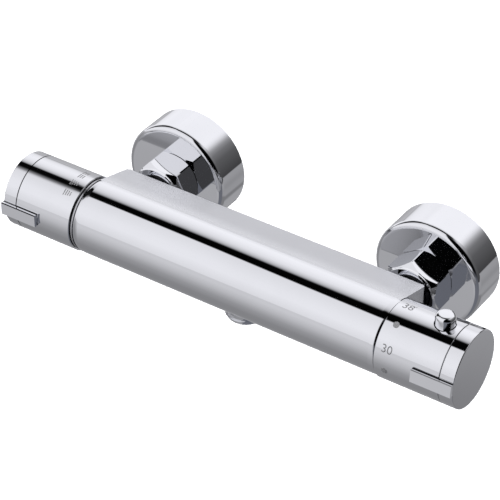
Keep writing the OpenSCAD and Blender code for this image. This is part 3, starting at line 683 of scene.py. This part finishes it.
def threaded_piece(node, tree, sizes, frame_of_thread, start, length):
    """The node with its plain end cut back to the thread's root and a real thread laid on it."""
    name = node + "_threaded"
    root = THREAD_R - sizes.depth
    back = frame_of_thread.inverted()
    points, faces = merged_copy(node)
    for i, point in enumerate(points):
        local = back @ point
        far = math.hypot(local.x, local.y)
        if start - 1e-6 < local.z < start + length + 1e-4 and far > root:
            local.x, local.y = local.x * root / far, local.y * root / far
            points[i] = frame_of_thread @ local
    # the ridge is a pitch wide, so it starts half a pitch in and ends as much before the thread does
    turns = length / sizes.pitch - 0.9
    ridge = grown(tree, FINISH["chrome_plating"],
                  {"Root Radius": root, "Depth": sizes.depth, "Pitch": sizes.pitch, "Turns": turns,
                   "Steps": int(turns * sizes.steps) + 2})
    shape = bmesh.new()
    ridge.transform(frame_of_thread @ Matrix.Translation((0, 0, start + 0.5 * sizes.pitch)))
    add_mesh(shape, ridge)
    bmesh.ops.recalc_face_normals(shape, faces=shape.faces)
    add_mesh(shape, mesh_of(name, points, faces))
    piece = put_object(name, finished(shape, name), FINISH["chrome_plating"], "valve")
    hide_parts(node)


class VALVE_OT_outlet(bpy.types.Operator):
    """Make the hose outlet with its half inch thread"""

    bl_idname = "valve.outlet"
    bl_label = "Hose outlet"

    def execute(self, context):
        # looking down out of the body, the thread runs from the relief groove to the end
        down = Matrix.Translation(OUTLET) @ Matrix.Rotation(math.pi, 4, "X")
        threaded_piece("outlet_nipple", thread_tree(), context.scene.valve_thread, down, -OUTLET_THREAD,
                       OUTLET_THREAD)
        return {"FINISHED"}


class VALVE_OT_supply_unions(bpy.types.Operator):
    """Make the two eccentric unions with the threads that go into the wall"""

    bl_idname = "valve.supply_unions"
    bl_label = "Supply unions"

    def execute(self, context):
        tree = thread_tree()
        for side, x in INLET_X.items():
            outward = Matrix.Translation((x, 0, 0)) @ Matrix.Rotation(-math.pi / 2, 4, "X")
            threaded_piece(side + "_eccentric_union", tree, context.scene.valve_thread, outward,
                           -WALL_THREAD, TAIL_END + WALL_THREAD)
        return {"FINISHED"}


class VALVE_OT_springs(bpy.types.Operator):
    """Make copies of the four springs in spring steel, in place of the packed ones"""

    bl_idname = "valve.springs"
    bl_label = "Springs"

    def execute(self, context):
        for joint in frame["record"]["behaviour"]["joints"]:
            for spring in joint.get("deforming_nodes", ()):
                node, letter = spring["node"], spring["mode"][-1]
                axis = "xyz".index(letter)
                corners = [Vector(corner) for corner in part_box(node)]
                held = (corners[0] + corners[1]) / 2
                pressed = held.copy()
                held[axis] = spring["fixed_end_" + letter + "_m"]
                pressed[axis] = max((corner[axis] for corner in corners), key=lambda at: abs(at - held[axis]))
                mesh = mesh_of(node + "_coil", *merged_copy(node))
                coil = put_object(node + "_coil", mesh, FINISH["spring_steel"])
                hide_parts(node)
                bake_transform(coil)
        return {"FINISHED"}


# ---------------------------------------------------------------- dial marks


# Font size of a digit of height 1, and strips that a number is cut into
DIGIT_SIZE = 1 / 0.69
STRIPS = 14
# Groups of bars on the flow knob: degrees from the front upwards, and how many bars
FLOW_BARS = ((57.2, 4), (76.2, 4), (93.2, 3), (105.3, 3))
# Share by which each bar is shorter than the one before
TAPER = 0.12
# What every tree of marks is told: the knob's radius, the place round it and the height above it
ROLLED = {"Radius": 0.02, "Around": 0.0, "Lift": 0.0, "Material": None}


def roll(tree, geometry, inner, outer):
    """Rolls flat marks round the bar and ends the tree: X stays along the bar, Y runs up round it."""
    x, y, z = position(tree)
    radius = inner.outputs["Radius"]
    angle = maths(tree, "ADD", maths(tree, "DIVIDE", y, radius), inner.outputs["Around"])
    far = maths(tree, "ADD", maths(tree, "ADD", radius, z), inner.outputs["Lift"])
    spot = together(tree, x, maths(tree, "SUBTRACT", BAR_Y, product(tree, far, maths(tree, "COSINE", angle))),
                    maths(tree, "MULTIPLY_ADD", far, maths(tree, "SINE", angle), BAR_Z))
    shift = add_node(tree, "GeometryNodeSetPosition", Geometry=geometry, Position=spot)
    finish_tree(tree, shift.outputs[0], inner, outer)


def roll_row(tree, mark, inner, outer, step, scale=(1.0, 1.0, 1.0)):
    """Rolls a line of copies of one mark round the bar and ends the tree."""
    line = add_node(tree, "GeometryNodeMeshLine", Count=inner.outputs["Count"],
                    Start_Location=together(tree, inner.outputs["Station"]), Offset=step)
    copies = add_node(tree, "GeometryNodeInstanceOnPoints", Points=line.outputs[0],
                      Instance=mark.outputs["Mesh"], Scale=scale)
    real = add_node(tree, "GeometryNodeRealizeInstances", Geometry=copies.outputs[0])
    roll(tree, real.outputs[0], inner, outer)


def number_tree():
    """Rolls a flat number onto the knob."""
    tree, inner, outer = new_tree("number_on_knob", "GeometryNodeTree", {"Geometry": None} | ROLLED,
                                  "Geometry")
    roll(tree, inner.outputs["Geometry"], inner, outer)
    return tree


def dot_tree():
    """Round dots, evenly spaced around the knob."""
    tree, inner, outer = new_tree(
        "dots_on_knob", "GeometryNodeTree",
        {"Count": 3, "Arc": 0.01, "Station": 0.0, "Dot Radius": 0.0016, "Thickness": 0.0001} | ROLLED,
        "Geometry")
    given = inner.outputs
    disc = add_node(tree, "GeometryNodeMeshCylinder", Vertices=40, Fill_Segments=5,
                    Radius=given["Dot Radius"], Depth=given["Thickness"])
    disc.fill_type = "TRIANGLE_FAN"
    roll_row(tree, disc, inner, outer, together(tree, 0.0, given["Arc"]))
    return tree


def bar_tree():
    """A row of graduated bars beside each other along the knob, each shorter than the last."""
    tree, inner, outer = new_tree(
        "bars_on_knob", "GeometryNodeTree",
        {"Count": 4, "Spacing": 0.0012, "Station": 0.0, "Width": 0.0005, "Length": 0.003, "Taper": 0.15,
         "Thickness": 0.0001} | ROLLED, "Geometry")
    given = inner.outputs
    block = add_node(tree, "GeometryNodeMeshCube", Vertices_X=2, Vertices_Y=9, Vertices_Z=2,
                     Size=together(tree, given["Width"], given["Length"], given["Thickness"]))
    order = tree.nodes.new("GeometryNodeInputIndex")
    share = maths(tree, "SUBTRACT", 1.0, product(tree, order.outputs[0], given["Taper"]))
    roll_row(tree, block, inner, outer, together(tree, given["Spacing"]), together(tree, 1.0, share, 1.0))
    return tree


def slab_of(dial):
    """How thick a mark's slab is, and the lift that leaves its top quarter proud of the knob."""
    slab = 4 * dial.thickness
    return slab, dial.thickness - slab / 2


def flat_number(text, height, thickness, along, up=0.0):
    """The outline of a number centred on its place, cut into strips so that it can bend, as a thin slab."""
    curve = bpy.data.curves.new("number", "FONT")
    curve.body = text
    curve.align_x = "CENTER"
    curve.align_y = "CENTER"
    curve.size = height * DIGIT_SIZE
    curve.resolution_u = 6
    writer = linked("number", curve)
    flat = bpy.data.meshes.new_from_object(writer.evaluated_get(bpy.context.evaluated_depsgraph_get()))
    bpy.data.objects.remove(writer)
    bpy.data.curves.remove(curve)
    shape = bmesh.new()
    add_mesh(shape, flat)
    bmesh.ops.remove_doubles(shape, verts=shape.verts, dist=1e-7)
    middle = [(min(v.co[k] for v in shape.verts) + max(v.co[k] for v in shape.verts)) / 2 for k in (0, 1)]
    bmesh.ops.translate(shape, verts=shape.verts, vec=(along - middle[0], -middle[1], 0))
    reach = max(abs(v.co.y) for v in shape.verts)
    for i in range(1, STRIPS):
        cut = -reach + 2 * reach * i / STRIPS
        bmesh.ops.bisect_plane(shape, geom=shape.verts[:] + shape.edges[:] + shape.faces[:],
                               plane_co=(0, cut, 0), plane_no=(0, 1, 0), dist=1e-8)
    bmesh.ops.recalc_face_normals(shape, faces=shape.faces)
    lower = shape.faces[:]
    raised = bmesh.ops.extrude_face_region(shape, geom=lower, use_keep_orig=True)
    for v in (g for g in raised["geom"] if isinstance(g, bmesh.types.BMVert)):
        v.co.z += thickness
    bmesh.ops.translate(shape, verts=shape.verts, vec=(0, up, -thickness / 2))
    bmesh.ops.recalc_face_normals(shape, faces=shape.faces)
    return finished(shape, "number")


class VALVE_OT_temperature_scale(bpy.types.Operator):
    """Make the numbers and dots around the temperature knob"""

    bl_idname = "valve.temperature_scale"
    bl_label = "Temperature scale"

    def execute(self, context):
        dial = context.scene.valve_dial
        ink = FINISH["etched_marks"]
        station = TEMPERATURE_X + dial.station
        slab, lift = slab_of(dial)
        numbers = number_tree()
        shape = bmesh.new()
        # text, steps up from the safety mark, height, and what it is moved by along the bar and up
        places = [
            ("38", 0, dial.height, -0.3 * MM, 0.0),
            ("°", 0, dial.height * 0.55, dial.degree_along, dial.degree_up),
            ("30", -2, dial.height, 0.25 * MM, 0.0),
            ("22", -4, dial.height, 0.0, 0.0),
            ("46", 2, dial.height, 0.0, 0.0),
        ]
        for text, steps, height, along, up in places:
            flat = flat_number(text, height, slab, station + along, up)
            add_mesh(shape, grown(numbers, ink, {
                "Radius": KNOB_R, "Around": dial.top + steps * dial.step, "Lift": lift}, flat))
            bpy.data.meshes.remove(flat)
        add_mesh(shape, grown(dot_tree(), ink, {
            "Count": 4, "Arc": 2 * dial.step * KNOB_R, "Station": station, "Dot Radius": dial.dot / 2,
            "Thickness": slab, "Radius": KNOB_R, "Around": dial.top - 5 * dial.step, "Lift": lift}))
        put_object("temperature_scale", finished(shape, "temperature_scale"), ink,
                   "temperature_knob")
        return {"FINISHED"}


class VALVE_OT_flow_scale(bpy.types.Operator):
    """Make the graduated bars around the flow knob"""

    bl_idname = "valve.flow_scale"
    bl_label = "Flow scale"

    def execute(self, context):
        flow, dial = context.scene.valve_flow, context.scene.valve_dial
        ink = FINISH["etched_marks"]
        slab, lift = slab_of(dial)
        bars = bar_tree()
        shape = bmesh.new()
        middle = FLOW_X - flow.station
        for degrees, count in FLOW_BARS:
            add_mesh(shape, grown(bars, ink, {
                "Count": count, "Spacing": flow.spread, "Station": middle - flow.spread * (count - 1) / 2,
                "Width": flow.width, "Length": flow.length, "Taper": TAPER, "Thickness": slab,
                "Radius": KNOB_R, "Around": math.radians(degrees), "Lift": lift}))
        put_object("flow_scale", finished(shape, "flow_scale"), ink, "flow_knob")
        return {"FINISHED"}


# ---------------------------------------------------------------- stage


# Share of the light that the plating mirrors
MIRRORED = 0.87
# Light round the bar, by angle: 0 at the wall side horizon, 90 overhead, 180 and -180 in front
ROUND = [
    (-180, 200), (-170, 200), (-154, 184), (-142, 166), (-130, 149), (-108, 132), (-90, 130), (-74, 133),
    (-58, 148), (-25, 164), (2, 178), (12, 184), (19, 190), (24, 226), (36, 243), (48, 237), (56, 227),
    (64, 206), (70, 178), (73.5, 138), (76, 60), (77.5, 4), (93.5, 2), (95.5, 219), (112, 225), (134, 231),
    (150, 232), (180, 217),
]
# The same light over the flow knob, where the screens are nearer and their edges softer
LEFT = [
    (-180, 178), (2, 180), (6, 188), (9, 152), (12, 192), (16, 216), (22, 231), (36, 240), (48, 235),
    (56, 226), (62, 212), (66, 190), (69, 176), (71, 110), (73, 6), (84, 6), (87, 22), (91, 95), (95, 140),
    (99, 200), (103, 219), (134, 231), (150, 232), (180, 217),
]
# Light towards the temperature knob's end, by angle above the horizon
SIDE = [
    (-90, 150), (-62, 132), (-44, 132), (-26, 148), (-17, 150), (-15, 62), (0, 74), (20, 88), (34, 112),
    (46, 150), (58, 205), (72, 232), (90, 238),
]
# Dark room in front, towards the temperature knob's end, by angle above the horizon
FRONT = [
    (-90, 108), (-55, 106), (-35, 106), (-17, 96), (-7, 66), (2, 8), (20, 2), (60, 2), (74, 4), (84, 30),
    (90, 60),
]
ROOM_TINT = (0.93, 0.97, 1.12)
# Patches near the temperature knob: their grey, then the edges over which each fades in and out, by the
# direction's part along the bar and by its angle round the bar
PATCHES = [
    # low light behind the wall side of the knob
    (226, [(-0.395, -0.365), (-0.22, -0.28)], [(-2, 3), (26, 20)]),
    # shade below that light
    (24, [(-0.395, -0.365), (-0.26, -0.3)], [(-60, -50), (-4, -12)]),
    # the screen overhead ends beyond the knob
    (84, [(-0.29, -0.22)], [(-4, 4), (28, 22)]),
]
# The photo's camera: its place, its yaw, pitch and tilt in degrees, its lens and sensor in millimetres
CAMERA_AT = (0.47531, -0.77557, 0.65212)
CAMERA_TURN = (33.7, -36.58, 0.227)
LENS, SENSOR = 157.69, 36.0
# Side of the floor, radius of the dome over it, and the light of its own that keeps both pale
FLOOR_SIZE = 12.0
DOME_RADIUS = 5.0
GLOW = 0.3
# The soft lamp: its sides, where it is and where it points
LAMP_SIDES = (1.6, 1.2)
LAMP_AT = (-0.5, -0.5, 1.5)
LAMP_AIM = (0, 0, -0.2)


def grey(level, tint=(0.99, 0.99, 1.03)):
    """The light that the plating shows as this 8 bit grey."""
    value = level / 255
    linear = value / 12.92 if value <= 0.04045 else ((value + 0.055) / 1.055) ** 2.4
    return tuple(linear / MIRRORED * t for t in tint)


def light_by_angle(tree, share, stops, half, *tint):
    """Light at a share of the way from -half degrees to half, from stops of an angle and a grey."""
    return ramp(tree, share, [((angle + half) / (2 * half), grey(level, *tint)) for angle, level in stops])


def build_world(level):
    world = bpy.data.worlds.new("studio")
    bpy.context.scene.world = world
    world.use_nodes = True
    tree = world.node_tree
    tree.nodes.clear()
    place = tree.nodes.new("ShaderNodeTexCoord")
    x, y, z = apart(tree, place.outputs["Generated"])
    turn = maths(tree, "ARCTAN2", z, y)
    # the gap between the two overhead screens isn't quite parallel to the bar
    slant = clipped(tree, maths(tree, "ADD", x, 0.4456), -0.15, 0.15)
    bow = product(tree, ease(tree, x, -0.47, -0.41), ease(tree, x, -0.36, -0.39))
    slant = maths(tree, "MULTIPLY_ADD", slant, 0.42, product(tree, bow, 0.045))
    slant = product(tree, slant, ease(tree, z, 0.45, 0.7))
    # its front edge spreads towards the right
    spread = clipped(tree, product(tree, maths(tree, "ADD", x, 0.508), 0.5), 0.0, 0.08)
    spread = product(tree, spread, ease(tree, turn, math.radians(80), math.radians(91)))
    turn = maths(tree, "SUBTRACT", maths(tree, "SUBTRACT", turn, slant), spread)
    # at the far left its back edge flares
    flare = clipped(tree, product(tree, maths(tree, "ADD", x, 0.56), -2.6), 0.0, 0.5)
    flared = maths(tree, "MINIMUM", maths(tree, "ADD", turn, flare), math.radians(86))
    turn = maths(tree, "MAXIMUM", turn, flared)
    around = maths(tree, "MULTIPLY_ADD", turn, 1 / (2 * math.pi), 0.5)
    base = light_by_angle(tree, around, ROUND, 180)
    left = light_by_angle(tree, around, LEFT, 180)
    on_left = product(tree, ease(tree, x, -0.512, -0.522), ease(tree, turn, 0.0, math.radians(6)))
    colour = blend_colour(tree, on_left, base, left)
    for grey_level, along, upwards in PATCHES:
        edges = [ease(tree, x, *edge) for edge in along]
        edges += [ease(tree, turn, *map(math.radians, edge)) for edge in upwards]
        colour = blend_colour(tree, product(tree, *edges), colour, (*grey(grey_level), 1))
    rise = maths(tree, "ARCTAN2", z, maths(tree, "MAXIMUM", x, 0.001))
    above = maths(tree, "MULTIPLY_ADD", rise, 1 / math.pi, 0.5)
    colour = blend_colour(tree, ease(tree, x, 0.3, 0.56), colour, light_by_angle(tree, above, SIDE, 90))
    # the table falls away into shade on the right
    table = blend_colour(tree, ease(tree, z, -0.61, -0.66), (*grey(147), 1), (*grey(121), 1))
    on_table = product(tree, ease(tree, x, 0.18, 0.3), ease(tree, z, -0.4, -0.56))
    colour = blend_colour(tree, on_table, colour, table)
    in_room = product(tree, ease(tree, x, 0.08, 0.16), ease(tree, y, 0.0, -0.3))
    colour = blend_colour(tree, in_room, colour, light_by_angle(tree, above, FRONT, 90, ROOM_TINT))
    light = add_node(tree, "ShaderNodeBackground", Color=colour, Strength=level)
    add_node(tree, "ShaderNodeOutputWorld", Surface=light.outputs[0])


def build_floor(studio):
    bpy.ops.mesh.primitive_grid_add(x_subdivisions=2, y_subdivisions=2, size=FLOOR_SIZE)
    floor = bpy.context.object
    floor.name = "floor"
    floor.data.transform(Matrix.Translation((0, 0, -studio.drop)))
    material, tree, shader, place = new_material("pale_floor")
    patches = add_node(tree, "ShaderNodeTexNoise", Vector=place, Scale=3.0)
    colour = tuple(studio.floor)
    tint = blend_colour(tree, patches.outputs[0], (*colour, 1), (*(c * 0.99 for c in colour), 1))
    # only the camera sees the floor's and the dome's own light
    path = tree.nodes.new("ShaderNodeLightPath")
    wire(tree, shader, Base_Color=tint, Roughness=0.9, Specular_IOR_Level=0.0,
         Emission_Color=(1, 1, 1, 1), Emission_Strength=product(tree, path.outputs["Is Camera Ray"], GLOW))
    floor.data.materials.append(material)
    # the plating mirrors the grey table of the surroundings, not the white floor
    floor.visible_glossy = False
    build_backdrop(material)


def build_backdrop(material):
    """A pale dome that closes the view above the floor; the plating mirrors the surroundings through it."""
    shape = bmesh.new()
    bmesh.ops.create_icosphere(shape, subdivisions=5, radius=DOME_RADIUS)
    mesh = finished(shape, "backdrop")
    mesh.shade_smooth()
    mesh.materials.append(material)
    dome = linked("backdrop", mesh)
    dome.visible_glossy = dome.visible_diffuse = dome.visible_shadow = False


def build_camera():
    yaw, pitch, tilt = map(math.radians, CAMERA_TURN)
    ahead = Vector((-math.sin(yaw) * math.cos(pitch), math.cos(yaw) * math.cos(pitch), math.sin(pitch)))
    right = ahead.cross(Vector((0, 0, 1))).normalized()
    up = right.cross(ahead)
    turned_right = right * math.cos(tilt) + up * math.sin(tilt)
    turned_up = up * math.cos(tilt) - right * math.sin(tilt)
    data = bpy.data.cameras.new("camera")
    data.sensor_width, data.lens = SENSOR, LENS
    data.clip_start, data.clip_end = 0.05, 50.0
    camera = linked("camera", data)
    axes = zip(turned_right, turned_up, -ahead, CAMERA_AT)
    camera.matrix_world = Matrix((*axes, (0, 0, 0, 1)))
    bpy.context.scene.camera = camera


class VALVE_OT_stage(bpy.types.Operator):
    """Make the camera, the pale floor, the soft lamp and the studio surroundings"""

    bl_idname = "valve.stage"
    bl_label = "Stage"

    def execute(self, context):
        studio = context.scene.valve_studio
        build_camera()
        build_world(studio.level)
        build_floor(studio)
        data = bpy.data.lights.new("softbox", "AREA")
        data.shape = "RECTANGLE"
        data.size, data.size_y = LAMP_SIDES
        data.energy = studio.lamp
        lamp = linked("softbox", data)
        lamp.location = LAMP_AT
        lamp.rotation_euler = (Vector(LAMP_AIM) - lamp.location).to_track_quat("-Z", "Y").to_euler()
        lamp.visible_glossy = lamp.visible_camera = False
        context.scene.view_settings.view_transform = "Standard"
        return {"FINISHED"}


# ---------------------------------------------------------------- add-on


OPERATORS = (VALVE_OT_finishes, VALVE_OT_outlet, VALVE_OT_supply_unions, VALVE_OT_springs,
             VALVE_OT_temperature_scale, VALVE_OT_flow_scale, VALVE_OT_stage)
SETTINGS = (("valve_finish", FinishSettings), ("valve_thread", ThreadSettings), ("valve_dial", DialSettings),
            ("valve_flow", FlowSettings), ("valve_studio", StudioSettings))


class VALVE_PT_panel(bpy.types.Panel):
    """Lists the steps that build the valve's looks, and their settings"""

    bl_idname = "VALVE_PT_panel"
    bl_label = "Bar shower valve"
    bl_space_type = "VIEW_3D"
    bl_region_type = "UI"
    bl_category = "Shower valve"

    def draw(self, context):
        column = self.layout.column()
        for operator in OPERATORS:
            column.operator(operator.bl_idname)
        for name, group in SETTINGS:
            box = self.layout.box()
            box.label(text=group.__doc__)
            for key in group.__annotations__:
                box.prop(getattr(context.scene, name), key)


def register():
    for name, group in SETTINGS:
        bpy.utils.register_class(group)
        setattr(bpy.types.Scene, name, PointerProperty(type=group))
    for operator in OPERATORS:
        bpy.utils.register_class(operator)
    bpy.utils.register_class(VALVE_PT_panel)


def unregister():
    bpy.utils.unregister_class(VALVE_PT_panel)
    for operator in reversed(OPERATORS):
        bpy.utils.unregister_class(operator)
    for name, group in reversed(SETTINGS):
        delattr(bpy.types.Scene, name)
        bpy.utils.unregister_class(group)


def main():
    register()
    bpy.ops.valve.finishes()
    bpy.ops.valve.outlet()
    bpy.ops.valve.supply_unions()
    bpy.ops.valve.springs()
    bpy.ops.valve.temperature_scale()
    bpy.ops.valve.flow_scale()
    bpy.ops.valve.stage()


if __name__ == "__main__":
    main()
